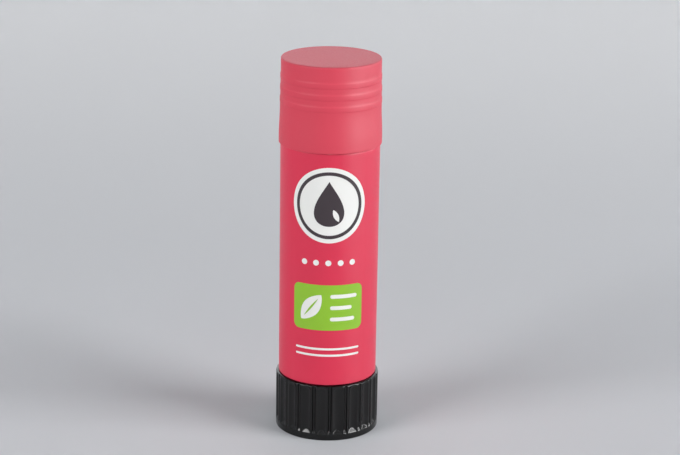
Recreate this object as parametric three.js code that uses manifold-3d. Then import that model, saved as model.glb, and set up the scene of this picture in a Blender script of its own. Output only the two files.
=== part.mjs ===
// A twist-up glue stick: barrel, twist knob, screw spindle, glue cup, glue and pull-off cap.
// Millimetres, +Z up. The origin is the middle of the knob's underside, where the stick stands.
// Turning the knob turns the left-handed spindle, and the cup climbs it, guided by the barrel's ribs.

import * as THREE from 'three';
import { mergeVertices } from 'three/addons/utils/BufferGeometryUtils.js';
import Module from 'manifold-3d';

const wasm = await Module();
wasm.setup();

// Barrel
const barrelRadius = 12.5;
const barrelLength = 60.4; // lower end to shoulder
const shoulderWidth = 1.05; // step in from the barrel to the neck
const neckLength = 16;
const neckWall = 0.95;
const neckBeadRise = 0.15; // the low ring that holds the cap
const neckBeadWidth = 1.2;
const neckBeadHeight = 3; // its middle, above the shoulder
const barrelEdge = 0.3; // softened corners
const floorRise = 1.3; // barrel's lower end up to the floor's underside
const floorThickness = 1.4;
const ribCount = 4;
const ribWidth = 1.2;
const ribDepth = 0.7;
const ribTopMargin = 2; // ribs stop this far below the rim

// Twist knob
const knobHeight = 14.8;
const knobOverhang = 0.65; // knob radius over the barrel's
const knobWall = 1.2; // behind the flutes
const knobBase = 1.6;
const knobTopEdge = 0.3;
const knobFootEdge = 0.2;
const footRecess = 0.8;
const footRingWidth = 2.2;
const fluteCount = 20;
const fluteRadius = 1.87; // radius of the round hollow itself
const fluteDepth = 0.55;
const grooveRadius = 0.4; // of the narrow groove between two flutes
const grooveDepth = 0.5;
const fluteTopMargin = 0.1; // from the arches of flutes and grooves to the knob's top
const fluteFoot = 1.65; // plain ring under the flutes
const fluteFootSlope = 1.1; // height of the slope at a flute's foot
const fluteTurn = 265; // direction of one flute in degrees, with the front at 270
const hubWall = 1.8; // around the key's socket

// Screw spindle
const lead = 4; // rise in one turn
const coreRadius = 1.9;
const threadDepth = 0.9;
const threadRootWidth = 1.9;
const threadCrestWidth = 0.9;
const threadLength = 64.5;
const threadTip = 1; // plain round tip over the thread
const threadFade = 1; // height over which each end of the thread sinks away
const journalRadius = 3;
const collarRadius = 4.4;
const collarThickness = 1.2;
const keyRadius = 2.9; // corner radius of the six-sided foot
const keySeat = 1.4; // solid knob under the key's socket, above the base

// Glue cup
const cupHeight = 8.6;
const cupWall = 0.9;
const cupFloor = 1.5;
const nutWall = 2.2; // around the thread
const nutHeight = 9;

// Glue
const glueTopMargin = 1.5; // glue's top below the neck's rim
const glueEdge = 0.4;

// Cap
const capLength = 21.45;
const capWall = 0.92;
const capTopThickness = 1.2;
const capFlare = 0.41; // mouth radius over the top's radius
const capFlareLength = 7.6; // from the widest place up to the last ring
const capSkirt = 1.6; // straight stretch at the mouth
const capTopEdge = 0.35;
const capMouthEdge = 0.25;
const gripRingCount = 3;
const gripRingPitch = 2.93;
const gripRingDrop = 4.42; // cap's top down to the first ring's lip
const gripRingRise = 0.12;
const gripRingGrowth = 0.05; // each ring's base is this much wider than the last
const gripRingFlare = 1.3; // height over which a ring swells, down to its lip
const gripRingLand = 0.65; // straight height under the lip
const gripRingStep = 0.75; // height over which it draws back in
const sealWall = 0.75;
const sealDepth = 1.1; // how far the seal reaches into the neck

// Clearances
const runningGap = 0.3; // between knob and barrel
const thrustGap = 0.3; // along the axis, at hub, collar and cup
const capGap = 0.12; // cap's mouth above the shoulder
const capClearance = 0.15;
const slideClearance = 0.1; // cup, glue and seal in the bore, ribs in their notches
const seatClearance = 0.15; // glue in its cup
const journalClearance = 0.25;
const threadClearance = 0.2;
const keyClearance = 0.2;

// Roundness of the model
const roundSides = 56;
const hubSides = 20;
const threadSides = 12; // steps in one turn
const fluteSides = 16;
const grooveSides = 6;
const overlap = 0.4; // how far joined pieces reach into each other

// Places that several pieces share
const neckRadius = barrelRadius - shoulderWidth;
const boreRadius = neckRadius - neckWall;
const knobRadius = barrelRadius + knobOverhang;
const crestRadius = coreRadius + threadDepth;
const nutRadius = crestRadius + threadClearance + nutWall;
const slideRadius = boreRadius - slideClearance;
const barrelFoot = knobHeight + runningGap;
const shoulder = barrelFoot + barrelLength;
const rim = shoulder + neckLength;
const floorUnder = barrelFoot + floorRise;
const floorTop = floorUnder + floorThickness;
const hubTop = floorUnder - thrustGap;
const socketFoot = footRecess + knobBase + keySeat;
const keyFoot = socketFoot + thrustGap;
const collarFoot = floorTop + thrustGap;
const collarTop = collarFoot + collarThickness;
const cupFoot = collarTop + thrustGap;
const cupRim = cupFoot + cupHeight;
const cupFloorTop = cupFoot + cupFloor;
const nutTop = cupFoot + nutHeight;
const threadTop = collarTop + threadLength;
const spindleTop = threadTop + threadTip;
const glueTop = rim - glueTopMargin;
const capMouth = shoulder + capGap;
const capTop = capMouth + capLength;

// Turn an outline of [radius, height] points about the Z axis. The material is on its left.
function turned(outline, sides = roundSides) {
  const points = outline.map(([radius, height]) => new THREE.Vector2(radius, height));
  return new THREE.LatheGeometry(points, sides).rotateX(Math.PI / 2);
}

// Points of a quarter round from one corner to the next, as a curve about the corner at [r, z].
function rounded(from, corner, to, steps = 2) {
  const points = [];
  for (let i = 0; i <= steps; i++) {
    const t = (i / steps) * (Math.PI / 2);
    points.push([
      corner[0] + (from[0] - corner[0]) * (1 - Math.sin(t)) + (to[0] - corner[0]) * (1 - Math.cos(t)),
      corner[1] + (from[1] - corner[1]) * (1 - Math.sin(t)) + (to[1] - corner[1]) * (1 - Math.cos(t)),
    ]);
  }
  return points;
}

// A closed geometry as a solid that can be joined and cut.
function solid(geometry) {
  const bare = geometry.clone();
  bare.deleteAttribute('normal');
  bare.deleteAttribute('uv');
  const merged = mergeVertices(bare, 1e-5);
  const corners = merged.index.array;
  const triVerts = [];
  for (let i = 0; i < corners.length; i += 3) {
    const [a, b, c] = corners.slice(i, i + 3);
    if (a !== b && b !== c && c !== a) triVerts.push(a, b, c);
  }
  return new wasm.Manifold(new wasm.Mesh({
    numProp: 3,
    vertProperties: new Float32Array(merged.attributes.position.array),
    triVerts: new Uint32Array(triVerts),
  }));
}

// A solid back as a geometry.
function geometryOf(body) {
  const mesh = body.getMesh();
  const geometry = new THREE.BufferGeometry();
  geometry.setAttribute('position', new THREE.BufferAttribute(mesh.vertProperties, 3));
  geometry.setIndex(new THREE.BufferAttribute(mesh.triVerts, 1));
  geometry.computeVertexNormals();
  return geometry;
}

// Upright cylinder or prism between two heights.
function post(radius, from, to, sides) {
  return new THREE.CylinderGeometry(radius, radius, to - from, sides)
    .rotateX(Math.PI / 2)
    .translate(0, 0, (from + to) / 2);
}

// One left-handed thread ridge around the axis, over whole steps counted from the collar, so that
// the nut's groove and the spindle's ridge lie on one helix. grow makes it larger all round, for
// cutting the nut. Over the fade at each end it sinks into the core.
function threadRidge(from, to, grow, fade) {
  const root = coreRadius + grow;
  const inner = root - overlap;
  const rise = lead / threadSides;
  const first = Math.ceil((from - collarTop) / rise);
  const steps = Math.floor((to - collarTop) / rise) - first;
  const positions = [];
  const index = [];
  for (let i = 0; i <= steps; i++) {
    const z = collarTop + (first + i) * rise;
    const angle = (-2 * Math.PI * (first + i)) / threadSides;
    const full = fade > 0 ? Math.min(1, (i * rise) / fade, ((steps - i) * rise) / fade) : 1;
    const tip = THREE.MathUtils.lerp(root - overlap / 2, crestRadius + grow, full);
    const section = [
      [inner, -threadRootWidth / 2 - grow],
      [tip, -threadCrestWidth / 2 - grow],
      [tip, threadCrestWidth / 2 + grow],
      [inner, threadRootWidth / 2 + grow],
    ];
    for (const [radius, dz] of section) {
      positions.push(radius * Math.cos(angle), radius * Math.sin(angle), z + dz);
    }
  }
  for (let i = 0; i < steps; i++) {
    for (let j = 0; j < 4; j++) {
      const a = 4 * i + j;
      const b = 4 * i + ((j + 1) % 4);
      index.push(a, b, b + 4, a, b + 4, a + 4);
    }
  }
  const last = 4 * steps;
  index.push(0, 2, 1, 0, 3, 2, last, last + 1, last + 2, last, last + 2, last + 3);
  const geometry = new THREE.BufferGeometry();
  geometry.setAttribute('position', new THREE.Float32BufferAttribute(positions, 3));
  geometry.setIndex(index);
  return geometry;
}

// The barrel's guide ribs, or with grow the notches that they run in, as a list of solids.
function guideRibs(from, to, grow) {
  const inside = boreRadius - ribDepth - grow;
  const outside = boreRadius + overlap;
  const ribs = [];
  for (let i = 0; i < ribCount; i++) {
    const rib = new THREE.BoxGeometry(outside - inside, ribWidth + 2 * grow, to - from)
      .translate((inside + outside) / 2, 0, (from + to) / 2)
      .rotateZ(((i + 0.5) / ribCount) * 2 * Math.PI);
    ribs.push(solid(rib));
  }
  return ribs;
}

function barrel() {
  const bead = shoulder + neckBeadHeight;
  const outline = [
    ...rounded([barrelRadius - barrelEdge, barrelFoot], [barrelRadius, barrelFoot],
      [barrelRadius, barrelFoot + barrelEdge]),
    ...rounded([barrelRadius, shoulder - barrelEdge], [barrelRadius, shoulder],
      [barrelRadius - barrelEdge, shoulder]),
    [neckRadius, shoulder],
    [neckRadius, bead - neckBeadWidth / 2],
    [neckRadius + neckBeadRise, bead],
    [neckRadius, bead + neckBeadWidth / 2],
    ...rounded([neckRadius, rim - barrelEdge], [neckRadius, rim], [neckRadius - barrelEdge, rim]),
    [boreRadius, rim],
    [boreRadius, floorTop],
    [journalRadius + journalClearance, floorTop],
    [journalRadius + journalClearance, floorUnder],
    [boreRadius, floorUnder],
    [boreRadius, barrelFoot],
    [barrelRadius - barrelEdge, barrelFoot],
  ];
  let body = solid(turned(outline));
  for (const rib of guideRibs(floorTop - overlap, rim - ribTopMargin, 0)) body = body.add(rib);
  return geometryOf(body);
}

function twistKnob() {
  const skirt = knobRadius - fluteDepth - knobWall;
  const baseTop = footRecess + knobBase;
  const outline = [
    [0, footRecess],
    [knobRadius - knobFootEdge - footRingWidth, footRecess],
    [knobRadius - knobFootEdge - footRingWidth, 0],
    ...rounded([knobRadius - knobFootEdge, 0], [knobRadius, 0], [knobRadius, knobFootEdge]),
    ...rounded([knobRadius, knobHeight - knobTopEdge], [knobRadius, knobHeight],
      [knobRadius - knobTopEdge, knobHeight]),
    [skirt, knobHeight],
    [skirt, baseTop],
    [keyRadius + keyClearance + hubWall, baseTop],
    [keyRadius + keyClearance + hubWall, hubTop],
    [0, hubTop],
  ];
  const socket = post(keyRadius + keyClearance, socketFoot, hubTop + overlap, 6);
  return geometryOf(solid(turned(outline))
    .subtract(hollows(fluteRadius, fluteDepth, fluteSides, fluteTurn))
    .subtract(hollows(grooveRadius, grooveDepth, grooveSides, fluteTurn + 180 / fluteCount))
    .subtract(solid(socket)));
}

// Round hollows spread evenly around the knob: domed at the top, ending on a slope at the foot.
function hollows(radius, depth, sides, turn) {
  const middle = knobRadius - depth + radius;
  const halfWidth = Math.sqrt(radius ** 2 - (radius - depth) ** 2); // at the knob's surface
  const domeMiddle = knobHeight - fluteTopMargin - halfWidth;
  const foot = fluteFoot - overlap;
  const column = post(radius, foot, domeMiddle, sides);
  const dome = new THREE.SphereGeometry(radius, sides, sides / 2)
    .rotateX(Math.PI / 2)
    .translate(0, 0, domeMiddle);
  const hollow = solid(column).add(solid(dome)).translate([middle, 0, 0]);
  const slopeTop = fluteFoot + fluteFootSlope;
  const reach = middle + radius;
  const floorRadius = knobRadius - fluteDepth;
  const slope = [
    [0, slopeTop],
    [floorRadius, slopeTop],
    [knobRadius, fluteFoot],
    [reach, fluteFoot],
    [reach, knobHeight],
    [0, knobHeight],
  ];
  let all = hollow;
  for (let i = 1; i < fluteCount; i++) all = all.add(hollow.rotate([0, 0, (360 / fluteCount) * i]));
  return all.rotate([0, 0, turn]).intersect(solid(turned(slope)));
}

function screwSpindle() {
  const foot = [
    [0, hubTop],
    [journalRadius, hubTop],
    [journalRadius, collarFoot],
    [collarRadius, collarFoot],
    [collarRadius, collarTop],
    [0, collarTop],
  ];
  const core = [
    [0, collarFoot],
    [coreRadius, collarFoot],
    ...rounded([coreRadius, spindleTop - threadTip], [coreRadius, spindleTop], [0, spindleTop]),
  ];
  const key = post(keyRadius, keyFoot, hubTop + overlap, 6);
  const ridge = threadRidge(collarTop + threadRootWidth, threadTop - threadRootWidth, 0, threadFade);
  return geometryOf(solid(turned(foot, hubSides))
    .add(solid(key))
    .add(solid(turned(core, threadSides)))
    .add(solid(ridge)));
}

function glueCup() {
  const outline = [
    [0, cupFoot],
    [slideRadius, cupFoot],
    [slideRadius, cupRim],
    [slideRadius - cupWall, cupRim],
    [slideRadius - cupWall, cupFloorTop],
    [nutRadius, cupFloorTop],
    [nutRadius, nutTop],
    [0, nutTop],
  ];
  const hole = post(coreRadius + threadClearance, cupFoot - overlap, nutTop + overlap, hubSides);
  const groove = threadRidge(cupFoot - lead, nutTop + lead, threadClearance, 0);
  let body = solid(turned(outline)).subtract(solid(hole).add(solid(groove)));
  for (const notch of guideRibs(cupFoot - overlap, cupRim + overlap, slideClearance)) {
    body = body.subtract(notch);
  }
  return geometryOf(body);
}

function glue() {
  const foot = cupFloorTop + seatClearance;
  const inCup = slideRadius - cupWall - seatClearance;
  const overCup = cupRim + seatClearance;
  const aroundNut = nutRadius + seatClearance;
  const overNut = nutTop + seatClearance;
  const aroundThread = crestRadius + threadClearance;
  const overSpindle = spindleTop + seatClearance;
  const outline = [
    [0, overSpindle],
    [aroundThread, overSpindle],
    [aroundThread, overNut],
    [aroundNut, overNut],
    [aroundNut, foot],
    [inCup, foot],
    [inCup, overCup],
    [slideRadius, overCup],
    ...rounded([slideRadius, glueTop - glueEdge], [slideRadius, glueTop],
      [slideRadius - glueEdge, glueTop]),
    [0, glueTop],
  ];
  let body = solid(turned(outline));
  for (const notch of guideRibs(foot - overlap, glueTop + overlap, slideClearance)) {
    body = body.subtract(notch);
  }
  return geometryOf(body);
}

// The cap's outer side from the mouth to the top edge: a flared skirt, then the low grip rings.
function capSide() {
  const topRadius = neckRadius + capClearance + capWall;
  const mouthRadius = topRadius + capFlare;
  const base = (ring) => topRadius + ring * gripRingGrowth;
  const widest = capMouth + capSkirt;
  const points = rounded([mouthRadius - capMouthEdge, capMouth], [mouthRadius, capMouth],
    [mouthRadius, capMouth + capMouthEdge]);
  const flareSteps = 5;
  for (let i = 0; i <= flareSteps; i++) {
    const t = i / flareSteps;
    const drawnIn = THREE.MathUtils.smoothstep(t, 0, 1);
    const radius = THREE.MathUtils.lerp(mouthRadius, base(gripRingCount), drawnIn);
    points.push([radius, widest + t * capFlareLength]);
  }
  for (let ring = gripRingCount; ring > 0; ring--) {
    const lip = capTop - gripRingDrop - (ring - 1) * gripRingPitch;
    const swollen = base(ring) + gripRingRise;
    points.push([base(ring), lip - gripRingLand - gripRingStep]);
    points.push([swollen, lip - gripRingLand]);
    for (let i = 0; i <= flareSteps; i++) {
      const t = i / flareSteps;
      const radius = THREE.MathUtils.lerp(base(ring - 1), swollen, (1 - t) ** 2);
      points.push([radius, lip + t * gripRingFlare]);
    }
  }
  points.push(...rounded([topRadius, capTop - capTopEdge], [topRadius, capTop],
    [topRadius - capTopEdge, capTop]));
  return points;
}

function cap() {
  const ceiling = capTop - capTopThickness;
  const sealOuter = boreRadius - slideClearance;
  const sealInner = sealOuter - sealWall;
  const sealFoot = rim - sealDepth;
  const insideTop = neckRadius + capClearance;
  const insideMouth = insideTop + capFlare;
  const outline = [
    [0, ceiling],
    [sealInner, ceiling],
    [sealInner, sealFoot],
    [sealOuter, sealFoot],
    [sealOuter, ceiling],
    [insideTop, ceiling],
    [insideMouth, capMouth],
    ...capSide(),
    [0, capTop],
  ];
  return turned(outline);
}

function piece(name, geometry, colour, roughness) {
  const material = new THREE.MeshStandardMaterial({ color: colour, roughness, metalness: 0 });
  const mesh = new THREE.Mesh(geometry, material);
  mesh.name = name;
  return mesh;
}

const glueStick = new THREE.Group();
glueStick.add(
  piece('barrel', barrel(), 0xd03c52, 0.25),
  piece('twist_knob', twistKnob(), 0x252326, 0.35),
  piece('screw_spindle', screwSpindle(), 0xe4e2da, 0.5),
  piece('glue_cup', glueCup(), 0xeceae4, 0.5),
  piece('glue', glue(), 0xf1eee2, 0.55),
  piece('cap', cap(), 0xd84e5e, 0.4),
);

export default glueStick;
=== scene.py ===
"""Looks of a twist-up glue stick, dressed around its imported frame.

Lengths are in millimetres in every class and turn into metres where a mesh is made. The stick stands
upright on the origin with its printed side towards -Y.
"""

from __future__ import annotations

import logging
import math
from collections.abc import Sequence
from dataclasses import dataclass
from enum import Enum

import bmesh
import bpy
from mathutils import Matrix, Vector

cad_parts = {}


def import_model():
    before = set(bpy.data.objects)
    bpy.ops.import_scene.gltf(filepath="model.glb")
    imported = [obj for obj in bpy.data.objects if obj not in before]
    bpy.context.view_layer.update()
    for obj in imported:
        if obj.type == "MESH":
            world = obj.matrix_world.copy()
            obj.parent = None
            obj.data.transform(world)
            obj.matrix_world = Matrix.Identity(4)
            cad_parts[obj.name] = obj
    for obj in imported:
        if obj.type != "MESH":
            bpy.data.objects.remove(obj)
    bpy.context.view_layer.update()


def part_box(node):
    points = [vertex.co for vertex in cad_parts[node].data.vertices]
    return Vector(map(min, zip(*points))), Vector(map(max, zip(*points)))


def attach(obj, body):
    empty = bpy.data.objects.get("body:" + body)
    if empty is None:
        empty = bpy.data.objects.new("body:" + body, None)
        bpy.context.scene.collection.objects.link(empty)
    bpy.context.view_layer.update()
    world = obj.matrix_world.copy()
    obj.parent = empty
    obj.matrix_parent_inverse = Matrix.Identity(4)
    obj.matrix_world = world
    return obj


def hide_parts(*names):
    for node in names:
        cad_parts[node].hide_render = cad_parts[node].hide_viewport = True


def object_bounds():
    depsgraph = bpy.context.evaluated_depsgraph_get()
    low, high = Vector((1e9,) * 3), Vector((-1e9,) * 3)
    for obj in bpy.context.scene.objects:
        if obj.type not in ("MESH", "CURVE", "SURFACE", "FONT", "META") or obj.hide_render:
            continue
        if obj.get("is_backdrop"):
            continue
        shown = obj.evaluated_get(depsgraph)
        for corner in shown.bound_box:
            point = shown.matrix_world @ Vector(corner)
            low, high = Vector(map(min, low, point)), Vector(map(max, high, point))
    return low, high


MM = 0.001
METRE = 1000.0  # in millimetres
FULL_TURN = 2 * math.pi
SHARP_ANGLE = math.radians(38)
WELD = 1e-6

# Sockets of a Mix node set to colours: share, first colour, second colour, and the result
MIX_SHARE, MIX_FIRST, MIX_SECOND, MIX_RESULT = 0, 6, 7, 2

# Pointiness where an edge begins and ends turning pale, and its pale colour: partly wear, partly painted
# highlight
SOFT_EDGE, SHARP_EDGE = 0.52, 0.62
WORN_AND_HIGHLIGHT_COLOUR = "#f2e9e9"

Point = tuple[float, float]
Row = list[Vector]
Colour = tuple[float, float, float, float]

log = logging.getLogger("glue_stick")


class Body(Enum):
    """The moving bodies of the stick."""

    BARREL = "barrel"
    KNOB = "knob"
    CUP = "cup"
    CAP = "cap"


class Slot(Enum):
    """The record's material slots."""

    BARREL = "barrel_plastic"
    KNOB = "knob_plastic"
    SPINDLE = "spindle_plastic"
    CUP = "cup_plastic"
    GLUE = "glue"
    CAP = "cap_plastic"


class Ink(Enum):
    """Screen inks of the barrel's print, as sRGB."""

    WHITE = "#eeeeea"
    CHARCOAL = "#3b3136"
    GREEN = "#8fc12e"


# Finishes


def linear(code: str) -> Colour:
    """Turn an sRGB hex colour into linear light.

    Args:
        code: a colour such as "#d12942".

    Returns:
        Red, green, blue and an alpha of 1.
    """
    parts = [int(code[i:i + 2], 16) / 255 for i in (1, 3, 5)]
    red, green, blue = (p / 12.92 if p <= 0.04045 else ((p + 0.055) / 1.055) ** 2.4 for p in parts)
    return red, green, blue, 1.0


def shade(colour: Colour, factor: float) -> Colour:
    """A colour made lighter or darker by a factor."""
    red, green, blue, alpha = colour
    return red * factor, green * factor, blue * factor, alpha


def add_node(tree: bpy.types.NodeTree, kind: str, inputs: dict | None = None, **settings) -> bpy.types.Node:
    """Add a node with its settings and what goes into its sockets.

    Args:
        tree: the material's node tree.
        kind: the node's type name.
        inputs: socket name or number, with a value or the socket to link from.
        settings: the node's own properties.

    Returns:
        The new node.
    """
    node = tree.nodes.new(kind)
    for key, value in settings.items():
        setattr(node, key, value)
    for key, value in (inputs or {}).items():
        if isinstance(value, bpy.types.NodeSocket):
            tree.links.new(value, node.inputs[key])
        else:
            node.inputs[key].default_value = value
    return node


def new_material(name: str) -> bpy.types.Material:
    """Make a material with an empty node tree.

    Args:
        name: the material's name.

    Returns:
        The material.
    """
    made = bpy.data.materials.new(name)
    made.use_nodes = True
    made.node_tree.nodes.clear()
    return made


@dataclass(frozen=True)
class Plastic:
    """A moulded thermoplastic: an even colour that wanders slightly, with a fine skin.

    grain is the width of the skin's texture and cloud that of the colour's wander, both in millimetres.
    Above a set level the colour may be painted deeper, as painted shade on a face that gets less light.
    """

    name: str
    colour: str
    roughness: float
    ior: float = 1.49  # polypropylene
    grain: float = 0.5
    grain_depth: float = 0.004
    cloud: float = 9.0
    wander: float = 0.03
    # share of pale colour on sharp edges: partly wear, partly painted highlight
    edge_wear_and_highlight: float = 0.12
    subsurface: float = 0.0
    scatter_depth: float = 1.5
    unevenness: float = 0.08  # the roughness varies by this share
    painted_shade_level: float = 0.0  # painted shade: above this level the colour is painted deeper; 0 for nowhere
    painted_shade_factor: float = 0.85
    painted_shade_share: float = 0.9  # of the deeper colour in the mix
    painted_shade_edge: float = 0.2  # height over which it sets in

    def material(self) -> bpy.types.Material:
        """Build the node material.

        Returns:
            The material, ready for an object's slot.
        """
        made = new_material(self.name)
        tree = made.node_tree
        where = add_node(tree, "ShaderNodeTexCoord").outputs["Object"]
        clouds = add_node(tree, "ShaderNodeTexNoise", {
            "Vector": where, "Scale": METRE / self.cloud, "Detail": 3.0,
        })
        skin = add_node(tree, "ShaderNodeTexNoise", {
            "Vector": where, "Scale": METRE / self.grain, "Detail": 2.0,
        })
        base = linear(self.colour)
        body = add_node(tree, "ShaderNodeMix", {
            MIX_SHARE: clouds.outputs["Fac"],
            MIX_FIRST: shade(base, 1 - self.wander), MIX_SECOND: shade(base, 1 + self.wander),
        }, data_type="RGBA").outputs[MIX_RESULT]
        # Painted shade: above the level the colour is made deeper, standing in for the lesser light on the
        # top face.
        if self.painted_shade_level:
            face = add_node(tree, "ShaderNodeMapRange", {
                "Value": add_node(tree, "ShaderNodeSeparateXYZ", {"Vector": where}).outputs["Z"],
                "From Min": (self.painted_shade_level - self.painted_shade_edge) * MM, "From Max": self.painted_shade_level * MM,
                "To Max": self.painted_shade_share,
            })
            body = add_node(tree, "ShaderNodeMix", {
                MIX_SHARE: face.outputs["Result"],
                MIX_FIRST: body, MIX_SECOND: shade(base, self.painted_shade_factor),
            }, data_type="RGBA").outputs[MIX_RESULT]
        # Sharp edges turn pale by pointiness: partly wear, partly a painted highlight.
        edges = add_node(tree, "ShaderNodeMapRange", {
            "Value": add_node(tree, "ShaderNodeNewGeometry").outputs["Pointiness"],
            "From Min": SOFT_EDGE, "From Max": SHARP_EDGE, "To Max": self.edge_wear_and_highlight,
        })
        worn_and_highlit = add_node(tree, "ShaderNodeMix", {
            MIX_SHARE: edges.outputs["Result"], MIX_FIRST: body, MIX_SECOND: linear(WORN_AND_HIGHLIGHT_COLOUR),
        }, data_type="RGBA")
        rough = add_node(tree, "ShaderNodeMapRange", {
            "Value": skin.outputs["Fac"], "From Min": 0.3, "From Max": 0.7,
            "To Min": self.roughness * (1 - self.unevenness),
            "To Max": self.roughness * (1 + self.unevenness),
        })
        bump = add_node(tree, "ShaderNodeBump", {
            "Height": skin.outputs["Fac"], "Distance": self.grain_depth * MM, "Strength": 1.0,
        })
        shader = add_node(tree, "ShaderNodeBsdfPrincipled", {
            "Base Color": worn_and_highlit.outputs[MIX_RESULT], "Roughness": rough.outputs["Result"], "IOR": self.ior,
            "Normal": bump.outputs["Normal"], "Subsurface Weight": self.subsurface,
            "Subsurface Radius": (1.0, 0.8, 0.6), "Subsurface Scale": self.scatter_depth * MM,
        })
        add_node(tree, "ShaderNodeOutputMaterial", {"Surface": shader.outputs["BSDF"]})
        return made


@dataclass(frozen=True)
class Paper:
    """The matt paper that the stick stands on, painted a little lighter towards the back as painted light
    falloff.
    """

    name: str
    near: str
    far: str
    near_y: float = 50.0
    far_y: float = 600.0
    fibre: float = 1.2
    fibre_depth: float = 0.002
    roughness: float = 0.85
    specular: float = 0.2

    def material(self) -> bpy.types.Material:
        """Build the node material.

        Returns:
            The material, ready for an object's slot.
        """
        made = new_material(self.name)
        tree = made.node_tree
        where = add_node(tree, "ShaderNodeTexCoord").outputs["Object"]
        depth = add_node(tree, "ShaderNodeSeparateXYZ", {"Vector": where})
        # Painted light: the paper's colour grows lighter from near to far, standing in for the light's
        # falloff.
        along = add_node(tree, "ShaderNodeMapRange", {
            "Value": depth.outputs["Y"], "From Min": self.near_y * MM, "From Max": self.far_y * MM,
        }, interpolation_type="SMOOTHSTEP")
        painted_falloff = add_node(tree, "ShaderNodeMix", {
            MIX_SHARE: along.outputs["Result"], MIX_FIRST: linear(self.near), MIX_SECOND: linear(self.far),
        }, data_type="RGBA")
        fibres = add_node(tree, "ShaderNodeTexNoise", {"Vector": where, "Scale": METRE / self.fibre})
        bump = add_node(tree, "ShaderNodeBump", {
            "Height": fibres.outputs["Fac"], "Distance": self.fibre_depth * MM,
        })
        shader = add_node(tree, "ShaderNodeBsdfPrincipled", {
            "Base Color": painted_falloff.outputs[MIX_RESULT], "Roughness": self.roughness,
            "Normal": bump.outputs["Normal"], "Specular IOR Level": self.specular,
        })
        add_node(tree, "ShaderNodeOutputMaterial", {"Surface": shader.outputs["BSDF"]})
        return made


# Shapes


@dataclass(frozen=True)
class Corner:
    """A corner of an outline, and the radius that it is rounded to."""

    radius: float
    height: float
    fillet: float = 0.0


def rounded(corners: Sequence[Corner], steps: int = 5, support: float = 0.4) -> list[Point]:
    """Round the corners of an open outline.

    Args:
        corners: the outline's corners in order.
        steps: segments in each rounding.
        support: distance from a rounding to the extra point that keeps the next face's shading flat.

    Returns:
        The outline as (radius, height) points.
    """
    spots = [Vector((c.radius, c.height)) for c in corners]
    points: list[Point] = []
    for i, corner in enumerate(corners):
        here = spots[i]
        if not corner.fillet or i in (0, len(corners) - 1):
            points.append(tuple(here))
            continue
        back, ahead = spots[i - 1] - here, spots[i + 1] - here
        half = back.angle(ahead) / 2
        reach = corner.fillet / math.tan(half)
        start, end = here + back.normalized() * reach, here + ahead.normalized() * reach
        between = (back.normalized() + ahead.normalized()).normalized()
        middle = here + between * (corner.fillet / math.sin(half))
        sweep = math.pi - 2 * half
        if back.length > reach + 2 * support:
            points.append(tuple(start + back.normalized() * support))
        for step in range(steps + 1):
            part = step / steps
            first = math.sin((1 - part) * sweep) / math.sin(sweep)
            second = math.sin(part * sweep) / math.sin(sweep)
            points.append(tuple(middle + (start - middle) * first + (end - middle) * second))
        if ahead.length > reach + 2 * support:
            points.append(tuple(end + ahead.normalized() * support))
    return points


def eased(part: float) -> float:
    """A share of the way between two values, level at both ends."""
    return part * part * (3 - 2 * part)


def even_angles(count: int) -> list[float]:
    """Directions spread evenly around the axis, in radians."""
    return [FULL_TURN * i / count for i in range(count)]


def ring(radius: float | Sequence[float], height: float, angles: Sequence[float]) -> Row:
    """One row of points around the axis.

    Args:
        radius: one radius, or one for each direction.
        height: the row's height.
        angles: the directions of its points.

    Returns:
        The points, or the single point on the axis for a radius of 0.
    """
    if radius == 0:
        return [Vector((0, 0, height))]
    radii = [radius] * len(angles) if isinstance(radius, (int, float)) else radius
    return [Vector((r * math.cos(a), r * math.sin(a), height)) for r, a in zip(radii, angles)]


class Skin:
    """A closed surface put together from sheets of rows, in millimetres."""

    def __init__(self) -> None:
        """Start with nothing."""
        self.points: list[Vector] = []
        self.faces: list[tuple[int, ...]] = []

    def sheet(self, rows: Sequence[Row], around: bool = True, closed: bool = False) -> None:
        """Lay faces between successive rows, facing away from the material on the rows' left.

        Args:
            rows: rows of equal length, or of one point at a pole.
            around: whether each row closes on itself.
            closed: whether the last row joins the first.
        """
        first = []
        for row in rows:
            first.append(len(self.points))
            self.points += row
        pairs = list(zip(range(len(rows) - 1), range(1, len(rows))))
        if closed:
            pairs.append((len(rows) - 1, 0))
        count = max(len(row) for row in rows)
        for low, high in pairs:
            for i in range(count if around else count - 1):
                j = (i + 1) % count
                a, b = first[low], first[high]
                if len(rows[low]) == 1:
                    self.faces.append((a, b + j, b + i))
                elif len(rows[high]) == 1:
                    self.faces.append((a + i, a + j, b))
                else:
                    self.faces.append((a + i, a + j, b + j, b + i))

    def mesh(self, name: str) -> bpy.types.Mesh:
        """Weld the sheets into one smooth mesh in metres.

        Args:
            name: the mesh's name.

        Returns:
            The mesh, with its hard corners marked sharp.
        """
        made = bpy.data.meshes.new(name)
        made.from_pydata([p * MM for p in self.points], [], self.faces)
        work = bmesh.new()
        work.from_mesh(made)
        bmesh.ops.remove_doubles(work, verts=work.verts, dist=WELD)
        bmesh.ops.dissolve_degenerate(work, dist=WELD, edges=work.edges)
        work.to_mesh(made)
        work.free()
        made.shade_smooth()
        made.set_sharp_from_angle(angle=SHARP_ANGLE)
        made.update()
        return made


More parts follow.
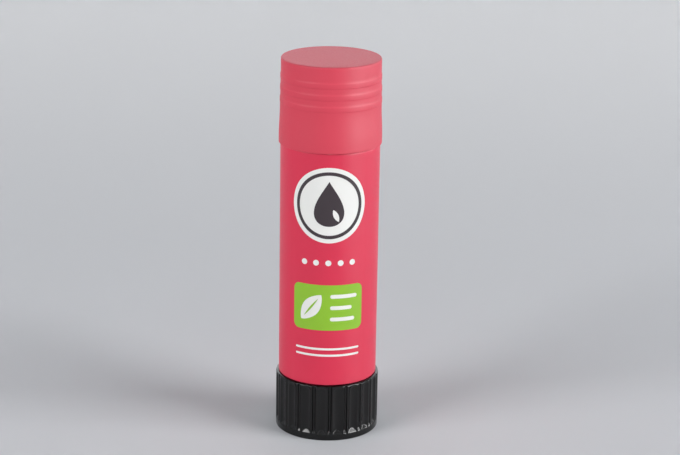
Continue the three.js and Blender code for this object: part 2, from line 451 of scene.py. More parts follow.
def place(mesh: bpy.types.Mesh, finish: Plastic, body: Body, slot: Slot, *nodes: str) -> bpy.types.Object:
    """Put a mesh into the scene as a piece of the stick.

    Args:
        mesh: the piece's mesh, in place.
        finish: what it is made of.
        body: the body that it moves with.
        slot: the record's material slot; not used.
        nodes: the frame's nodes that it stands for.

    Returns:
        The new object.
    """
    piece = bpy.data.objects.new(mesh.name, mesh)
    bpy.context.scene.collection.objects.link(piece)
    mesh.materials.append(finish.material())
    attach(piece, body.value)
    if nodes:
        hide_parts(*nodes)
    log.info("%s: %d faces of %s on %s", piece.name, len(mesh.polygons), finish.name, body.value)
    return piece


@dataclass(frozen=True)
class Span:
    """Lowest and highest level of a frame node, and its half width."""

    low: float
    high: float
    radius: float

    @classmethod
    def of(cls, node: str) -> Span:
        """Read a node's span from the frame."""
        low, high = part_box(node)
        return cls(low.z / MM, high.z / MM, (high.x - low.x) / 2 / MM)


@dataclass(frozen=True)
class Guides:
    """The barrel's upright ribs and the notches that run on them, as directions and radii around the axis.

    Both have slightly drafted sides, so that directions only grow around a row.
    """

    count: int = 4
    depth: float = 0.7
    rib_root: float = 3.51  # half widths in degrees
    rib_crest: float = 3.27
    notch_mouth: float = 4.0
    notch_floor: float = 3.9
    sides: int = 160

    def angles(self, outer: float, inner: float) -> list[float]:
        """Directions around a row, with the corners of each rib or notch among them.

        Args:
            outer: half width in degrees where the step begins.
            inner: half width in degrees where the step ends.

        Returns:
            The directions in radians, in order.
        """
        pitch = 360 / self.count
        fill = round(self.sides / self.count)
        found: list[float] = []
        for i in range(self.count):
            middle = (i + 0.5) * pitch
            free = pitch - 2 * outer
            found += [middle - outer, middle - inner, middle + inner, middle + outer]
            found += [middle + outer + free * k / fill for k in range(1, fill)]
        return [math.radians(a) for a in found]

    def radii(self, radius: float, depth: float) -> list[float]:
        """Radii of a row whose ribs or notches reach inwards.

        Args:
            radius: the row's radius beside them.
            depth: how far they reach.

        Returns:
            One radius for each direction that angles() gives.
        """
        fill = round(self.sides / self.count)
        stretch = [radius, radius - depth, radius - depth, radius] + [radius] * (fill - 1)
        return stretch * self.count


@dataclass(frozen=True)
class Thread:
    """A left-handed trapezoid thread, whose ridge crosses the +X side at the height start."""

    start: float
    lead: float = 4.0
    core: float = 1.9
    depth: float = 0.9
    root_width: float = 1.9
    crest_width: float = 0.9

    def radius(self, angle: float, height: float, grow: float = 0.0) -> float:
        """Radius of the threaded surface.

        Args:
            angle: direction around the axis.
            height: level along it.
            grow: clearance all round, for the nut.

        Returns:
            The radius in that direction at that level.
        """
        phase = (height - self.start + self.lead * angle / FULL_TURN) / self.lead
        off = abs(phase - round(phase)) * self.lead
        root, crest = self.root_width / 2 + grow, self.crest_width / 2 + grow
        rise = min(1.0, max(0.0, (root - off) / (root - crest)))
        return self.core + grow + self.depth * (0.5 * rise + 0.5 * eased(rise))

    def rows(self, low: float, high: float, angles: Sequence[float], grow: float = 0.0,
             fade: float = 0.0) -> list[Row]:
        """Rows of points that follow the thread, cut off flat at two levels.

        Args:
            low: the lower level.
            high: the upper level.
            angles: directions around the axis, the first one repeated a full turn on at the end.
            grow: clearance all round, for the nut.
            fade: height over which the ridge sinks into the core at each end.

        Returns:
            The rows from the bottom up.
        """
        root, crest = self.root_width / 2 + grow, self.crest_width / 2 + grow
        flank = [root * (1 - part) + crest * part for part in (0.0, 0.4, 0.8, 1.0)]
        offsets = [-off for off in flank] + [0, *flank[::-1], self.lead / 2]
        first = math.floor((low - self.start) / self.lead) - 1
        last = math.ceil((high - self.start) / self.lead) + 2
        levels = [self.start + k * self.lead + offset for k in range(first, last) for offset in offsets]
        rows = []
        for level in levels:
            row = []
            for angle in angles:
                height = min(high, max(low, level - self.lead * angle / FULL_TURN))
                full = min(1.0, (height - low) / fade, (high - height) / fade) if fade else 1.0
                core = self.core + grow
                radius = core + (self.radius(angle, height, grow) - core) * full
                row.append(Vector((radius * math.cos(angle), radius * math.sin(angle), height)))
            rows.append(row)
        return rows


# Pieces


@dataclass
class Barrel:
    """The tube that is held in the hand, with its neck, floor and guide ribs."""

    span: Span
    guides: Guides
    finish: Plastic
    shoulder: float = 75.5
    neck: float = 11.45
    bore: float = 10.5
    bead_rise: float = 0.15
    bead_width: float = 1.2
    bead_height: float = 3.0
    bead_foot: float = 0.4  # rounding at its foot
    bead_crest: float = 0.5
    floor_under: float = 16.4
    floor_top: float = 17.8
    journal_hole: float = 3.25
    rib_top: float = 89.5
    edge: float = 0.3
    edge_inside: float = 0.12
    foot_edge: float = 0.15
    drop: float = 0.2  # the lower end comes this much nearer to the knob than the frame's

    def outside(self) -> list[Point]:
        """Draw the outside.

        Returns:
            The outline from the lower end's inner edge up to the rim's inner edge.
        """
        bead = self.shoulder + self.bead_height
        half = self.bead_width / 2
        radius, foot = self.span.radius, self.span.low - self.drop
        return rounded([
            Corner(self.bore, foot),
            Corner(radius, foot, self.foot_edge),
            Corner(radius, self.shoulder, self.edge),
            Corner(self.neck, self.shoulder, self.edge_inside),
            Corner(self.neck, bead - half, self.bead_foot),
            Corner(self.neck + self.bead_rise, bead, self.bead_crest),
            Corner(self.neck, bead + half, self.bead_foot),
            Corner(self.neck, self.span.high, self.edge),
            Corner(self.bore, self.span.high),
        ])

    def build(self) -> bpy.types.Object:
        """Make the barrel.

        Returns:
            Its piece.
        """
        angles = self.guides.angles(self.guides.rib_root, self.guides.rib_crest)
        ribbed = self.guides.radii(self.bore, self.guides.depth)
        rows = [ring(r, z, angles) for r, z in self.outside()]
        rows += [
            ring(self.bore, self.rib_top, angles),
            ring(ribbed, self.rib_top, angles),
            ring(ribbed, self.floor_top, angles),
            ring(self.journal_hole, self.floor_top, angles),
            ring(self.journal_hole, self.floor_under, angles),
            ring(self.bore, self.floor_under, angles),
        ]
        skin = Skin()
        skin.sheet(rows, closed=True)
        return place(skin.mesh("barrel_tube"), self.finish, Body.BARREL, Slot.BARREL, "barrel")


@dataclass(frozen=True)
class Hollow:
    """A round upright hollow in a side of the same axis, with a dome at its top."""

    radius: float
    depth: float
    side: float  # radius of the side that it is cut into
    arch: float  # level where its arch ends on that side

    def distance(self, radius: float, off: float, height: float) -> float:
        """How far a point is from the hollow.

        Args:
            radius: the point's distance from the axis.
            off: its direction, from the hollow's middle.
            height: its level.

        Returns:
            The distance, negative inside the hollow.
        """
        half_width = math.sqrt(self.radius ** 2 - (self.radius - self.depth) ** 2)
        across = radius * math.sin(off)
        along = min(0.0, radius * math.cos(off) - (self.side - self.depth + self.radius))
        over = max(0.0, height - (self.arch - half_width))
        return math.sqrt(across * across + along * along + over * over) - self.radius


@dataclass
class TwistKnob:
    """The knob with its wide flutes and the narrow grooves between them, its hub and its socket."""

    span: Span
    finish: Plastic
    height: float = 14.8  # of the outer wall; the hub stands higher
    count: int = 20
    first: float = 265.0
    flute: Hollow = Hollow(1.87, 0.55, 13.15, 14.7)
    groove: Hollow = Hollow(0.4, 0.43, 13.15, 14.7)
    foot: Point = (13.15, 1.65)  # lower and upper end of the slope at a hollow's foot
    foot_top: Point = (12.6, 2.75)
    softness: float = 0.1
    foot_edge: float = 0.2
    top_edge: float = 0.5
    skirt: float = 11.4
    base_under: float = 0.8
    base_top: float = 2.4
    foot_ring: float = 10.75
    hub: float = 4.9
    inner_edge: float = 0.2
    inner_root: float = 0.3
    socket_corner: float = 3.1
    socket_foot: float = 3.8
    socket_rim: float = 0.4
    gate: float = 1.6  # radius of the dimple where the plastic came in
    gate_depth: float = 0.25
    gate_slope: float = 0.3
    gate_edge: float = 0.1
    halvings: int = 26  # steps in the search for the side's radius

    def soft_max(self, first: float, second: float) -> float:
        """The larger of two distances, blended where they are about equal."""
        near = max(self.softness - abs(first - second), 0.0) / self.softness
        return max(first, second) + near * near * self.softness / 4

    def plain_radius(self, height: float) -> float:
        """Radius of the side without its hollows, with the rounding at its top."""
        up = max(0.0, height - (self.height - self.top_edge))
        return self.span.radius - self.top_edge + math.sqrt(max(0.0, self.top_edge ** 2 - up * up))

    def outside(self, radius: float, off: float, height: float) -> float:
        """How far a point is outside the knob's side.

        Args:
            radius: the point's distance from the axis.
            off: its direction, from the middle of the nearest flute.
            height: its level.

        Returns:
            The distance, negative inside the plastic.
        """
        run, rise = self.foot[0] - self.foot_top[0], self.foot_top[1] - self.foot[1]
        line = self.foot_top[0] + run * (self.foot_top[1] - height) / rise
        slope = (line - radius) * rise / math.hypot(run, rise)
        found = radius - self.plain_radius(height)
        for hollow, turn in ((self.flute, off), (self.groove, math.pi / self.count - off)):
            cut = hollow.distance(radius, turn, height)
            found = self.soft_max(found, -self.soft_max(cut, slope))
        return found

    def side_radius(self, off: float, height: float) -> float:
        """Find the side's radius by halving.

        Args:
            off: the direction, from the middle of the nearest flute.
            height: the level.

        Returns:
            The radius there.
        """
        low, high = self.skirt, self.span.radius + self.softness
        for _ in range(self.halvings):
            middle = (low + high) / 2
            if self.outside(middle, off, height) < 0:
                low = middle
            else:
                high = middle
        return (low + high) / 2

    def side_levels(self) -> list[float]:
        """Choose the levels of the rows on the side.

        Returns:
            The levels from the bottom up, close together where a hollow begins and ends.
        """
        lower = [0.6, 1.2] + [1.5 + 0.08 * i for i in range(18)]
        middle = [3.1, 4.5, 7.5, 10.5, 12.6, 13.1]
        upper = [13.3 + 0.09 * i for i in range(14)]
        return lower + middle + upper + [14.52, 14.57, 14.62, 14.67, 14.71, 14.75, 14.78, 14.795]

    def half_pitch(self) -> list[float]:
        """Choose the directions from a flute's middle to the next groove's.

        Returns:
            The directions in radians, close together at both hollows' edges.
        """
        flute = [0, 1, 2, 3, 4, 4.7, 5.1, 5.4, 5.65, 5.9, 6.15, 6.5]
        groove = [6.8, 7.05, 7.25, 7.45, 7.7, 8.0, 8.35, 8.7, 9]
        return [math.radians(a) for a in flute + groove]

    def build(self) -> bpy.types.Object:
        """Make the knob.

        Returns:
            Its piece.
        """
        half = self.half_pitch()
        pitch = FULL_TURN / self.count
        one = half + [pitch - a for a in half[-2:0:-1]]
        angles = [math.radians(self.first) + pitch * i + a for i in range(self.count) for a in one]
        radius = self.span.radius
        under = rounded([
            Corner(0, self.base_under + self.gate_depth),
            Corner(self.gate, self.base_under + self.gate_depth, self.gate_edge),
            Corner(self.gate + self.gate_slope, self.base_under, self.gate_edge),
            Corner(self.foot_ring, self.base_under, self.inner_edge),
            Corner(self.foot_ring, 0, self.inner_edge),
            Corner(radius, 0, self.foot_edge),
            Corner(radius, 1.0),
        ], steps=4)
        top = rounded([
            Corner(radius - self.top_edge, self.height),
            Corner(self.skirt, self.height, self.inner_edge),
            Corner(self.skirt, self.base_top, self.inner_root),
            Corner(self.hub, self.base_top, self.inner_root),
            Corner(self.hub, self.span.high, self.inner_edge),
            Corner(self.socket_corner + self.socket_rim, self.span.high),
        ], steps=4)
        rows = [ring(r, z, angles) for r, z in under[:-1]]
        for level in self.side_levels():
            profile = [self.side_radius(a, level) for a in half]
            rows.append(ring((profile + profile[-2:0:-1]) * self.count, level, angles))
        rows += [ring(r, z, angles) for r, z in top]
        socket = [hexagon(self.socket_corner, a) for a in angles]
        rows += [ring(socket, self.span.high, angles), ring(socket, self.socket_foot, angles),
                 ring(0, self.socket_foot, angles)]
        skin = Skin()
        skin.sheet(rows)
        return place(skin.mesh("twist_knob_shell"), self.finish, Body.KNOB, Slot.KNOB, "twist_knob")


def hexagon(corner: float, angle: float) -> float:
    """Measure a hexagon that has a corner 30 degrees from +X.

    Args:
        corner: its radius at the corners.
        angle: a direction around the axis.

    Returns:
        Its radius in that direction.
    """
    sixth = FULL_TURN / 6
    off = angle % sixth - sixth / 2
    return corner * math.cos(sixth / 2) / math.cos(sixth / 2 - abs(off))


@dataclass
class ScrewSpindle:
    """The threaded rod that raises the glue, with its collar and six-sided foot."""

    span: Span
    thread: Thread
    finish: Plastic
    sides: int = 48
    key_corner: float = 2.9
    key_chamfer: Point = (0.3, 0.4)  # inwards and upwards
    journal: float = 3.0
    journal_foot: float = 16.1
    journal_edge: float = 0.08
    collar: float = 4.4
    collar_foot: float = 18.1
    collar_edge: float = 0.2
    tip: float = 1.0
    tip_edge: float = 0.8
    fade: float = 1.0

    def build(self) -> bpy.types.Object:
        """Make the spindle.

        Returns:
            Its piece.
        """
        angles = even_angles(self.sides)
        inwards, upwards = self.key_chamfer
        key = [hexagon(self.key_corner, a) for a in angles]
        slim = [r - inwards for r in key]
        collar_top, thread_top = self.thread.start, self.span.high - self.tip
        core = self.thread.core
        skin = Skin()
        skin.sheet([
            ring(0, self.span.low, angles),
            ring(slim, self.span.low, angles),
            ring(key, self.span.low + upwards, angles),
            ring(key, self.journal_foot, angles),
        ] + [ring(r, z, angles) for r, z in rounded([
            Corner(min(key), self.journal_foot),
            Corner(self.journal, self.journal_foot, self.journal_edge),
            Corner(self.journal, self.collar_foot),
            Corner(self.collar, self.collar_foot, self.collar_edge),
            Corner(self.collar, collar_top, self.collar_edge),
            Corner(core, collar_top),
        ], steps=3)[1:]])
        turn = angles + [FULL_TURN]
        skin.sheet(self.thread.rows(collar_top, thread_top, turn, fade=self.fade), around=False)
        skin.sheet([ring(r, z, angles) for r, z in rounded([
            Corner(core, thread_top), Corner(core, self.span.high, self.tip_edge), Corner(0, self.span.high),
        ])])
        return place(skin.mesh("screw_spindle_rod"), self.finish, Body.KNOB, Slot.SPINDLE, "screw_spindle")


@dataclass
class GlueCup:
    """The cup that carries the glue, with the nut that climbs the spindle."""

    span: Span
    guides: Guides
    thread: Thread
    finish: Plastic
    rim: float = 28.2
    wall: float = 0.9
    floor_top: float = 21.1
    nut: float = 5.2
    rim_slope: Point = (0.01, 0.1)  # its width and height, inside the rim
    root: float = 0.3
    nut_edge: float = 0.2
    nut_land: float = 0.4
    clearance: float = 0.2

    def build(self) -> bpy.types.Object:
        """Make the cup.

        Returns:
            Its piece.
        """
        angles = self.guides.angles(self.guides.notch_mouth, self.guides.notch_floor)
        radius, foot, top = self.span.radius, self.span.low, self.span.high
        bore, (slope_width, slope_height) = radius - self.wall, self.rim_slope
        notched = self.guides.radii(radius, self.guides.depth)
        inside = [ring(r, z, angles) for r, z in rounded([
            Corner(bore + slope_width, self.rim),
            Corner(bore, self.rim - slope_height),
            Corner(bore, self.floor_top, self.root),
            Corner(self.nut, self.floor_top, self.root),
            Corner(self.nut, top, self.nut_edge),
            Corner(self.nut - self.nut_land, top),
        ], steps=3)]

        def hole(level: float) -> Row:
            """The threaded hole's edge at one level."""
            return ring([self.thread.radius(a, level, self.clearance) for a in angles], level, angles)

        skin = Skin()
        skin.sheet([hole(foot), ring(notched, foot, angles), ring(notched, self.rim, angles)] + inside
                   + [hole(top)])
        climbing = self.thread.rows(foot, top, angles + [angles[0] + FULL_TURN], grow=self.clearance)
        skin.sheet(climbing[::-1], around=False)
        return place(skin.mesh("glue_cup_shell"), self.finish, Body.CUP, Slot.CUP, "glue_cup")


@dataclass
class GlueColumn:
    """The solid adhesive, cast around the nut and the spindle."""

    span: Span
    guides: Guides
    finish: Plastic
    spindle_hole: float = 3.0
    spindle_top: float = 84.95
    nut_hole: float = 5.35
    nut_top: float = 28.75
    in_cup: float = 9.35
    over_cup: float = 28.35
    edge: float = 0.5
    margin: float = 2.0  # from the edge to the even rows beside it

    def build(self) -> bpy.types.Object:
        """Make the glue.

        Returns:
            Its piece.
        """
        angles = self.guides.angles(self.guides.notch_mouth, self.guides.notch_floor)
        radius, top = self.span.radius, self.span.high
        shoulder = top - self.margin

        def notched(wide: float) -> list[float]:
            """Radii of a row with the four notches in it."""
            return self.guides.radii(wide, self.guides.depth)

        inner = [
            (0, self.spindle_top), (self.spindle_hole, self.spindle_top), (self.spindle_hole, self.nut_top),
            (self.nut_hole, self.nut_top), (self.nut_hole, self.span.low), (self.in_cup, self.span.low),
            (self.in_cup, self.over_cup),
        ]
        rows = [ring(r, z, angles) for r, z in inner]
        rows += [ring(notched(radius), z, angles) for z in (self.over_cup, self.over_cup + 0.3, shoulder)]
        rows += [ring(notched(r), z, angles) for r, z in rounded([
            Corner(radius, shoulder), Corner(radius, top, self.edge), Corner(radius - self.margin, top),
        ])[1:]]
        rows += [ring(radius * part, top, angles) for part in (0.7, 0.4)] + [ring(0, top, angles)]
        skin = Skin()
        skin.sheet(rows)
        return place(skin.mesh("glue_column"), self.finish, Body.CUP, Slot.GLUE, "glue")


@dataclass
class Cap:
    """The pull-off cap, with its three low grip rings and the seal inside."""

    span: Span
    finish: Plastic
    sides: int = 192
    top_radius: float = 12.52
    wall: float = 0.92
    top_thickness: float = 1.2
    seal_outside: float = 10.4
    seal_wall: float = 0.75
    seal_foot: float = 90.4
    straight: float = 1.6
    flare_top: float = 84.82
    flare_rows: int = 16
    lips: tuple[float, ...] = (92.95, 90.02, 87.09)
    ring_rise: float = 0.06
    ring_growth: float = 0.05
    ring_flare: float = 1.3
    ring_land: float = 1.09
    ring_step: float = 0.2
    step_rows: int = 8
    fall_rows: int = 12
    fall: int = 5  # power of the curve in which the side falls back over a lip
    lip_width: float = 0.2
    lip_drop: Point = (0.006, 0.05)  # inwards and downwards, where the lip's edge begins
    lip_edge: Point = (0.015, 0.03)  # inwards and upwards, where the step over the lip begins
    top_edge: float = 0.35
    seal_edge: float = 0.25
    seal_inner_edge: float = 0.15
    ceiling_root: float = 0.2
    mouth_edge: float = 0.12
    drop: float = 0.1  # the mouth comes this much nearer to the barrel's shoulder than the frame's

    def base(self, number: int) -> float:
        """Radius of the side below a number of rings."""
        return self.top_radius + number * self.ring_growth

    def side(self) -> list[Point]:
        """Draw the outside between the mouth and the top.

        Returns:
            The outline from over the mouth's edge to the top ring's upper end.
        """
        widest = self.span.low + self.straight
        points: list[Point] = []
        for i in range(self.flare_rows + 1):
            part = i / self.flare_rows
            radius = self.span.radius + (self.base(len(self.lips)) - self.span.radius) * eased(part)
            points.append((radius, widest + (self.flare_top - widest) * part))
        for number in range(len(self.lips), 0, -1):
            lip, below, above = self.lips[number - 1], self.base(number), self.base(number - 1)
            swollen = below + self.ring_rise
            land = lip - self.ring_land
            for i in range(self.step_rows + 1):
                part = i / self.step_rows
                points.append((below + self.ring_rise * eased(part), land - self.ring_step * (1 - part)))
            points += [(swollen, lip - self.lip_width), (swollen - self.lip_drop[0], lip - self.lip_drop[1])]
            for i in range(self.fall_rows + 1):
                part = (i / self.fall_rows) ** 1.5
                radius = above + (swollen - self.lip_edge[0] - above) * (1 - part) ** self.fall
                points.append((radius, lip + self.lip_edge[1] + self.ring_flare * part))
        return points

    def build(self) -> bpy.types.Object:
        """Make the cap.

        Returns:
            Its piece.
        """
        low, top, wide = self.span.low - self.drop, self.span.high, self.span.radius
        ceiling = top - self.top_thickness
        seal = self.seal_outside - self.seal_wall
        inside = self.top_radius - self.wall
        lower = rounded([
            Corner(0, ceiling),
            Corner(seal, ceiling, self.ceiling_root),
            Corner(seal, self.seal_foot, self.seal_inner_edge),
            Corner(self.seal_outside, self.seal_foot, self.seal_edge),
            Corner(self.seal_outside, ceiling, self.ceiling_root),
            Corner(inside, ceiling, self.ceiling_root),
            Corner(wide - self.wall, low, self.mouth_edge),
            Corner(wide, low, self.mouth_edge),
            Corner(wide, low + self.straight),
        ])[:-1]
        upper = rounded([
            Corner(self.top_radius, top - 2),
            Corner(self.top_radius, top, self.top_edge),
            Corner(0, top),
        ])[1:-1]
        outline = lower + self.side() + upper
        outline += [(self.top_radius * part, top) for part in (0.8, 0.5, 0.25)] + [(0, top)]
        angles = even_angles(self.sides)
        skin = Skin()
        skin.sheet([ring(r, z, angles) for r, z in outline])
        return place(skin.mesh("pull_off_cap"), self.finish, Body.CAP, Slot.CAP, "cap")


# The print on the barrel


def circle(radius: float, points: int = 96) -> list[Point]:
    """A circle around the origin."""
    return [(radius * math.cos(a), radius * math.sin(a)) for a in even_angles(points)]


def plate(width: float, height: float, corner: float) -> list[Point]:
    """A rectangle with round corners around the origin.

    Args:
        width: its width.
        height: its height.
        corner: the corners' radius.

    Returns:
        Its outline, counter-clockwise.
    """
    arc = 6
    points: list[Point] = []
    for quarter, (sx, sy) in enumerate(((1, 1), (-1, 1), (-1, -1), (1, -1))):
        cx, cy = sx * (width / 2 - corner), sy * (height / 2 - corner)
        for i in range(arc + 1):
            a = (quarter + i / arc) * math.pi / 2
            points.append((cx + corner * math.cos(a), cy + corner * math.sin(a)))
    return points


def drop(width: float, height: float, points: int = 72) -> list[Point]:
    """A drop with its tip up, around the origin.

    Args:
        width: its width.
        height: its height.
        points: points along its outline.

    Returns:
        Its outline, counter-clockwise.
    """
    raw = [(-math.sin(a) * math.sin(a / 2) ** 1.35, math.cos(a)) for a in even_angles(points)]
    widest = max(x for x, _ in raw)
    return [(x / widest * width / 2, y * height / 2) for x, y in raw]


def leaf(width: float, length: float, tilt: float, points: int = 24) -> list[Point]:
    """A pointed leaf around the origin.

    Args:
        width: its width.
        length: from tip to tip.
        tilt: its turn from upright, clockwise, in degrees.
        points: points along each side.

    Returns:
        Its outline, counter-clockwise.
    """
    shares = [i / points for i in range(points)]
    side = [(width / 2 * math.sin(math.pi * part) ** 0.8, length * (part - 0.5)) for part in shares]
    turn = math.radians(-tilt)
    cos, sin = math.cos(turn), math.sin(turn)
    return [(x * cos - y * sin, x * sin + y * cos) for x, y in side + [(-x, -y) for x, y in side]]


def close_set(outline: Sequence[Point], pitch: float = 0.5) -> list[Point]:
    """Add points to an outline until none are further apart than a pitch.

    Args:
        outline: the closed outline.
        pitch: the largest distance between neighbours.

    Returns:
        The outline with its extra points.
    """
    points: list[Point] = []
    for (x0, y0), (x1, y1) in zip(outline, [*outline[1:], outline[0]]):
        parts = max(1, math.ceil(math.hypot(x1 - x0, y1 - y0) / pitch))
        points += [(x0 + (x1 - x0) * k / parts, y0 + (y1 - y0) * k / parts) for k in range(parts)]
    return points


@dataclass(frozen=True)
class Motif:
    """One printed shape: an outline around its middle, its place, its ink and how many inks lie under it."""

    outline: list[Point]
    middle: Point
    ink: Ink
    layer: int = 0
    hole: float = 0.0  # share of the shape that is left open in its middle


@dataclass
class Print:
    """The screen print on the front of the barrel: a generic design of drop, dots, leaf and rules."""

    radius: float
    film: float = 0.03
    sunk: float = 0.03
    strip: float = 0.9

    def motifs(self) -> list[Motif]:
        """Lay out the design.

        Returns:
            Its shapes, with places as (arc from the front, height).
        """
        badge, panel = (0.0, 62.3), (0.0, 35.6)
        shapes = [
            Motif(circle(9.7), badge, Ink.WHITE),
            Motif(circle(8.6), badge, Ink.CHARCOAL, 1, hole=0.9),
            Motif(drop(7.6, 11.6), (badge[0], badge[1] + 0.4), Ink.CHARCOAL, 1),
            Motif(leaf(1.3, 3.4, -24), (badge[0] + 1.75, badge[1] - 2.6), Ink.WHITE, 2),
            Motif(plate(18.5, 12.0, 1.6), panel, Ink.GREEN),
            Motif(leaf(4.4, 8.6, 38), (panel[0] - 4.3, panel[1]), Ink.WHITE, 1),
            Motif(leaf(0.5, 6.0, 38), (panel[0] - 4.3, panel[1]), Ink.GREEN, 2),
        ]
        for length, rise in ((7.0, 3.0), (5.6, 0.0), (6.4, -3.0)):
            middle = (panel[0] + 0.6 + length / 2, panel[1] + rise)
            shapes.append(Motif(plate(length, 1.0, 0.49), middle, Ink.WHITE, 1))
        shapes += [Motif(circle(0.75, 32), (3.1 * k, 47.4), Ink.WHITE) for k in range(-2, 3)]
        shapes += [Motif(plate(17.0, 0.55, 0.26), (0.0, height), Ink.WHITE) for height in (24.6, 22.9)]
        return shapes

    def bent(self, across: float, height: float, lift: float) -> Vector:
        """A point of the flat design on the barrel, with its lift off the surface."""
        angle, radius = across / self.radius, self.radius + lift
        return Vector((radius * math.sin(angle), -radius * math.cos(angle), height))

    def rows(self, motif: Motif, lift: float) -> list[Row]:
        """Rows of a motif's face, from its outline to its middle.

        Args:
            motif: the shape.
            lift: the face's height over the barrel.

        Returns:
            The rows. The last one is the point in the middle, or the hole's edge.
        """
        edge = close_set(motif.outline)
        widest = max(math.hypot(x, y) for x, y in edge)
        bands = max(1, math.ceil(widest * (1 - motif.hole) / self.strip))
        shares = [1 - (1 - motif.hole) * k / bands for k in range(bands + 1)]
        return [[self.bent(motif.middle[0] + x * share, motif.middle[1] + y * share, lift)
                 for x, y in (edge if share > 0 else [(0.0, 0.0)])] for share in shares]

    def build(self) -> None:
        """Make one piece of each ink."""
        for ink in Ink:
            skin = Skin()
            for motif in self.motifs():
                if motif.ink is not ink:
                    continue
                face = self.rows(motif, self.film * (motif.layer + 1))
                back = self.rows(motif, -self.sunk)
                skin.sheet(back[::-1] + face, closed=motif.hole > 0)
            place(skin.mesh(f"print_{ink.name.lower()}"), screen_ink(ink), Body.BARREL, Slot.BARREL)


# What the pieces are made of


def screen_ink(ink: Ink) -> Plastic:
    """A half-gloss ink film, slightly uneven where the screen laid it down."""
    return Plastic(f"screen_printed_ink_{ink.name.lower()}", ink.value, 0.3, ior=1.5, grain=0.35,
                   grain_depth=0.001, cloud=3.0, wander=0.02, edge_wear_and_highlight=0.0)


# Polypropylene from a spark-eroded mould: a satin skin that spreads its highlights wide. The flat top
# is painted a little deeper as painted shade, and its edges lighter, partly as wear and partly as painted
# highlight.
CAP_FINISH = Plastic("moulded_polypropylene_satin_red", "#d53e52", 0.5, edge_wear_and_highlight=0.18, painted_shade_level=97.0)

# Polypropylene from a polished mould: deeper red, with clear soft reflections.
BARREL_FINISH = Plastic("moulded_polypropylene_gloss_red", "#d92d4c", 0.38, grain=0.8, grain_depth=0.002)

# Polypropylene filled with carbon black: nearly no colour of its own, so its edges draw the shape.
KNOB_FINISH = Plastic("moulded_polypropylene_black", "#050505", 0.22, ior=1.46, wander=0.06, edge_wear_and_highlight=0.04)

# Unfilled polypropylene: milky, lets a little light in.
SPINDLE_FINISH = Plastic("moulded_polypropylene_natural", "#e6e3da", 0.4, subsurface=0.15)
CUP_FINISH = Plastic("moulded_polypropylene_white", "#eeece6", 0.38, subsurface=0.1)

# Soap-set adhesive: a waxy off-white mass with a faint sheen and soft edges.
GLUE_FINISH = Plastic("cast_adhesive_mass", "#efecdf", 0.5, ior=1.45, grain=1.4, grain_depth=0.02,
                      cloud=5.0, wander=0.02, edge_wear_and_highlight=0.0, subsurface=0.35)

# Matt background paper, bluish grey in this light, painted lighter towards the back as painted light
# falloff.
PAPER_FINISH = Paper("matt_background_paper", "#cdcfd3", "#f2f3f5")


# The studio


@dataclass(frozen=True)
class SoftBox:
    """A large soft lamp around the stick's middle. Its azimuth is from the front towards +X."""

    name: str
    azimuth: float
    elevation: float
    distance: float
    width: float
    height: float
    power: float
    looks_at: tuple[float, float, float] = (0.0, 0.0, 50.0)
    reflected_only: bool = False  # seen in glossy surfaces, with no light of its own on matt ones

    def light(self, middle: Vector) -> None:
        """Hang the lamp.

        Args:
            middle: the point that its direction and distance are taken from, in metres.
        """
        lamp = bpy.data.lights.new(self.name, "AREA")
        lamp.shape = "RECTANGLE"
        lamp.size, lamp.size_y, lamp.energy = self.width * MM, self.height * MM, self.power
        turn, rise = math.radians(self.azimuth), math.radians(self.elevation)
        away = Vector((math.sin(turn) * math.cos(rise), -math.cos(turn) * math.cos(rise), math.sin(rise)))
        hung = bpy.data.objects.new(self.name, lamp)
        hung.location = middle + away * self.distance * MM
        hung.rotation_euler = (hung.location - Vector(self.looks_at) * MM).to_track_quat("Z", "Y").to_euler()
        hung.visible_camera = False
        hung.visible_diffuse = not self.reflected_only
        bpy.context.scene.collection.objects.link(hung)


@dataclass(frozen=True)
class Viewpoint:
    """The photograph's camera, found from the stick's outlines."""

    lens: float = 110.918
    sensor: float = 36.0
    distance: float = 530.902
    elevation: float = 17.23
    roll: float = 0.91
    aim: tuple[float, float, float] = (2.761, 0.0, 52.903)

    def place(self) -> None:
        """Set up the camera and make it the scene's."""
        data = bpy.data.cameras.new("photo_camera")
        data.sensor_width, data.lens = self.sensor, self.lens
        data.clip_start, data.clip_end = 0.01, 20.0
        rise = math.radians(self.elevation)
        away = Vector((0, -math.cos(rise), math.sin(rise)))
        tilted = Matrix.Rotation(math.pi / 2 - rise, 4, "X")
        turned = tilted @ Matrix.Rotation(math.radians(self.roll), 4, "Z")
        camera = bpy.data.objects.new("photo_camera", data)
        camera.matrix_world = Matrix.Translation((Vector(self.aim) + away * self.distance) * MM) @ turned
        bpy.context.scene.collection.objects.link(camera)
        bpy.context.scene.camera = camera


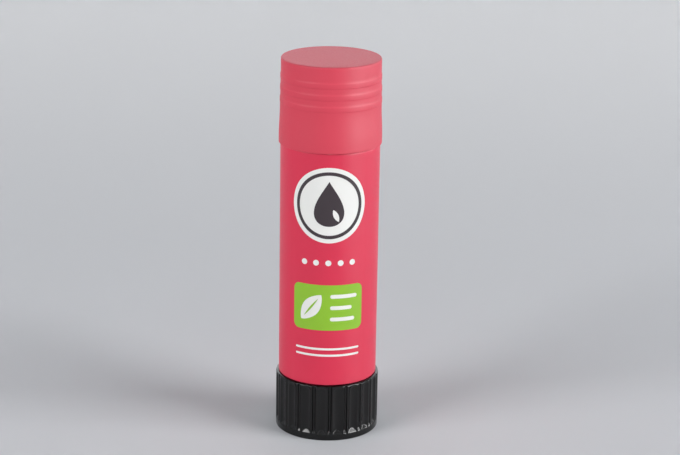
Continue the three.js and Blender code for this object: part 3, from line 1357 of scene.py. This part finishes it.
@dataclass
class Studio:
    """The paper sweep all round, the lamps and the dim room."""

    middle: float = 50.0  # level on the stick that the lamps' places start from
    flat: float = 1600.0
    bend: float = 500.0
    bend_rows: int = 10
    wall: float = 1500.0
    sides: int = 96
    room: str = "#8f9298"
    room_strength: float = 0.12
    lamps: tuple[SoftBox, ...] = (
        SoftBox("right_soft_box", 67.5, 25.5, 1400, 770, 1200, 17.4),
        SoftBox("left_soft_box", -55, 26, 1400, 740, 420, 11.2),
        SoftBox("front_soft_box", 4, 18, 1500, 1400, 600, 1.7),
        SoftBox("right_low_card", 60, 5, 1400, 1000, 230, 12.0, reflected_only=True),
        SoftBox("rear_low_card", 105, 1.5, 1400, 500, 120, 4.2, reflected_only=True),
        SoftBox("backdrop_wash", 180, 42, 1500, 1800, 300, 22.5, looks_at=(0.0, 2100.0, 550.0)),
    )

    def paper(self) -> None:
        """Lay the paper as a shallow bowl, flat under the stick."""
        angles = even_angles(self.sides)
        profile = [(self.flat * share, 0) for share in (0, 0.25, 0.6)]
        for i in range(self.bend_rows + 1):
            a = math.pi / 2 * i / self.bend_rows
            profile.append((self.flat + self.bend * math.sin(a), self.bend * (1 - math.cos(a))))
        profile.append((self.flat + self.bend, self.wall))
        skin = Skin()
        skin.sheet([ring(r, z, angles) for r, z in profile[::-1]])
        mesh = skin.mesh("paper_sweep")
        mesh.materials.append(PAPER_FINISH.material())
        sweep = bpy.data.objects.new(mesh.name, mesh)
        bpy.context.scene.collection.objects.link(sweep)
        sweep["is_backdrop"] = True

    def build(self) -> None:
        """Set up the paper, lamps, room light and camera."""
        self.paper()
        for lamp in self.lamps:
            lamp.light(Vector((0, 0, self.middle * MM)))
        scene = bpy.context.scene
        scene.world = bpy.data.worlds.new("dim_room")
        scene.world.use_nodes = True
        room = scene.world.node_tree.nodes["Background"]
        room.inputs["Color"].default_value = linear(self.room)
        room.inputs["Strength"].default_value = self.room_strength
        scene.view_settings.view_transform = "Standard"
        Viewpoint().place()
        log.info("studio: %d lamps", len(self.lamps))


def corners() -> list[list[float]]:
    """The shown object's lowest and highest corner as plain lists."""
    return [list(corner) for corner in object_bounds()]


def main() -> None:
    """Build the stick's pieces in order, then the studio."""
    logging.basicConfig(level=logging.INFO, format="%(name)s %(message)s")
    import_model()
    guides = Guides()
    spindle = Span.of("screw_spindle")
    thread = Thread(start=19.3)
    Barrel(Span.of("barrel"), guides, BARREL_FINISH).build()
    Print(Span.of("barrel").radius).build()
    TwistKnob(Span.of("twist_knob"), KNOB_FINISH).build()
    ScrewSpindle(spindle, thread, SPINDLE_FINISH).build()
    GlueCup(Span.of("glue_cup"), guides, thread, CUP_FINISH).build()
    GlueColumn(Span.of("glue"), guides, GLUE_FINISH).build()
    Cap(Span.of("cap"), CAP_FINISH).build()
    Studio().build()


if __name__ == "__main__":
    main()
